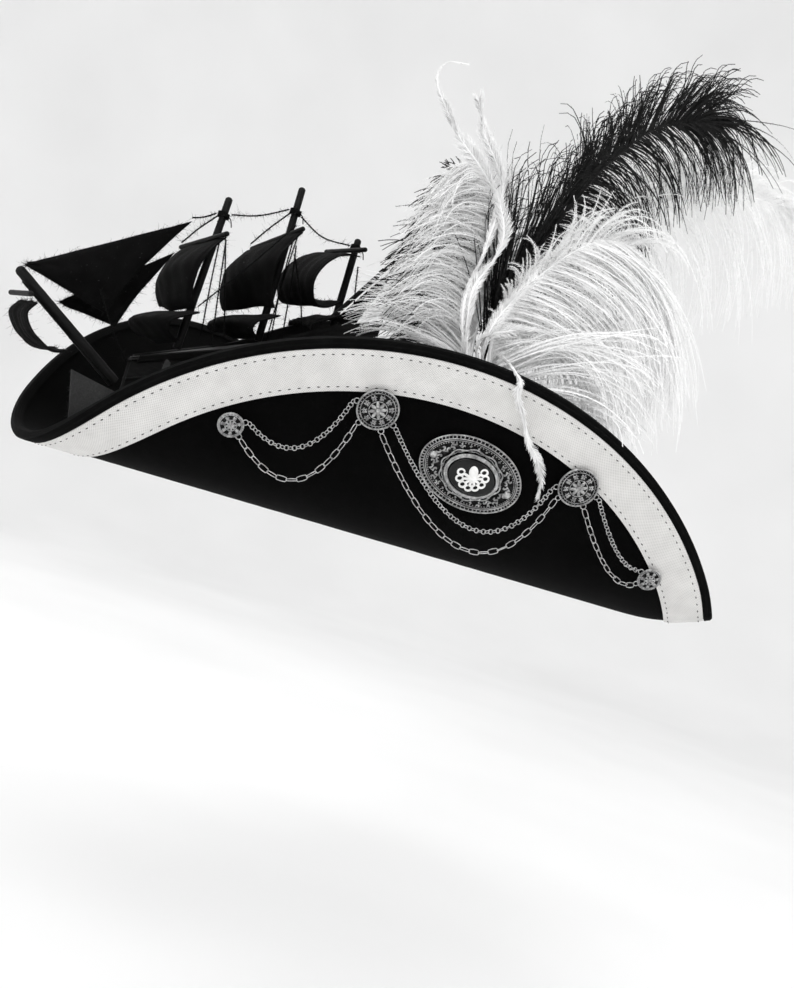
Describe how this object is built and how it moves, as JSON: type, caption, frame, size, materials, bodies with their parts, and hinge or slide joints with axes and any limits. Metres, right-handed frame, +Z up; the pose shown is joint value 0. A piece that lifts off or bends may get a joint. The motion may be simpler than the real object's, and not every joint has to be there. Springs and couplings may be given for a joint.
{
  "type": "pirate hat",
  "caption": "Felt tricorn hat with a canvas-trimmed brim, swagged chains between round buttons, an oval brooch, a small wooden sailing ship and ostrich plumes.",
  "frame": {"origin": "centre of the head opening, in the plane that rests on the brow", "axes": "+Z up through the crown, -Y towards the front of the hat, +X towards the wearer's left, the side with the chains and brooch"},
  "size_m": [0.3448, 0.5135, 0.3317],
  "materials": {
    "black_felt": "wool felt, matt",
    "black_tape": "woven tape, folded over the edge",
    "steel_wire": "drawn wire",
    "canvas": "undyed cotton canvas with a twill weave",
    "leather": "smooth",
    "satin": "satin",
    "antique_silver": "cast, blackened in the hollows and rubbed bright",
    "black_resin": "cast, glossy",
    "white_resin": "cast, satin",
    "black_wood": "painted black, worn at the edges",
    "black_cloth": "stiffened cotton, painted black",
    "black_twine": "hairy jute, dyed black",
    "grey_felt": "craft felt",
    "white_feather": "ostrich feather, bleached",
    "black_feather": "ostrich feather, dyed black"
  },
  "bodies": {
    "hat": {"brim": "black_felt", "crown": "black_felt", "edge_binding": "black_tape", "brim_wire": "steel_wire", "trim_band": "canvas", "sweatband": "leather", "lining": "satin", "small_button_front": "antique_silver", "big_button_front": "antique_silver", "big_button_rear": "antique_silver", "small_button_rear": "antique_silver", "brooch_plate": "antique_silver", "brooch_bezel": "antique_silver", "cameo": "black_resin", "octopus": "white_resin", "hull": "black_wood", "deck": "black_wood", "bowsprit": "black_wood", "fore_mast": "black_wood", "main_mast": "black_wood", "mizzen_mast": "black_wood", "fore_yard": "black_wood", "main_yard": "black_wood", "mizzen_yard": "black_wood", "sprit_yard": "black_wood", "spanker_boom": "black_wood", "fore_topsail": "black_cloth", "main_topsail": "black_cloth", "fore_course": "black_cloth", "main_course": "black_cloth", "mizzen_course": "black_cloth", "mizzen_topsail": "black_cloth", "spritsail": "black_cloth", "flying_jib": "black_cloth", "outer_jib": "black_cloth", "spanker": "black_cloth", "fore_mast_lashing": "black_twine", "main_mast_lashing": "black_twine", "mizzen_mast_lashing": "black_twine", "fore_stay": "black_twine", "fore_main_stay": "black_twine", "main_mizzen_stay": "black_twine", "fore_shroud": "black_twine", "main_shroud": "black_twine", "main_brace": "black_twine", "jib_sheet": "black_twine", "bow_wave_large": "grey_felt", "bow_wave_small": "grey_felt", "white_plume_front": "white_feather", "black_plume": "black_feather", "white_plume_side": "white_feather", "white_plume_rear": "white_feather", "tall_quill": "white_feather", "short_quill": "white_feather"},
    "fine_chain_front": {"fine_chain_front": "antique_silver"},
    "long_chain_front": {"long_chain_front": "antique_silver"},
    "fine_chain_middle": {"fine_chain_middle": "antique_silver"},
    "long_chain_middle": {"long_chain_middle": "antique_silver"},
    "fine_chain_rear": {"fine_chain_rear": "antique_silver"},
    "long_chain_rear": {"long_chain_rear": "antique_silver"}
  },
  "joints": [
    {"name": "fine_chain_front_swing", "type": "hinge", "parent": "hat", "child": "fine_chain_front", "pos_m": [0.08482, -0.13306, 0.03731], "axis": [-0.516, -0.7078, -0.4825], "range_deg": [-10, 40]},
    {"name": "long_chain_front_swing", "type": "hinge", "parent": "hat", "child": "long_chain_front", "pos_m": [0.0811, -0.13262, 0.02869], "axis": [-0.5029, -0.7603, -0.4111], "range_deg": [-10, 40]},
    {"name": "fine_chain_middle_swing", "type": "hinge", "parent": "hat", "child": "fine_chain_middle", "pos_m": [0.11669, -0.07489, 0.055], "axis": [-0.3523, -0.9346, 0.0487], "range_deg": [-10, 40]},
    {"name": "long_chain_middle_swing", "type": "hinge", "parent": "hat", "child": "long_chain_middle", "pos_m": [0.11301, -0.07894, 0.05023], "axis": [-0.3515, -0.9348, 0.0507], "range_deg": [-10, 40]},
    {"name": "fine_chain_rear_swing", "type": "hinge", "parent": "hat", "child": "fine_chain_rear", "pos_m": [0.15605, 0.02659, 0.05202], "axis": [-0.054, -0.8148, 0.5772], "range_deg": [-10, 40]},
    {"name": "long_chain_rear_swing", "type": "hinge", "parent": "hat", "child": "long_chain_rear", "pos_m": [0.15164, 0.02343, 0.04498], "axis": [-0.07, -0.8397, 0.5385], "range_deg": [-10, 40]}
  ]
}
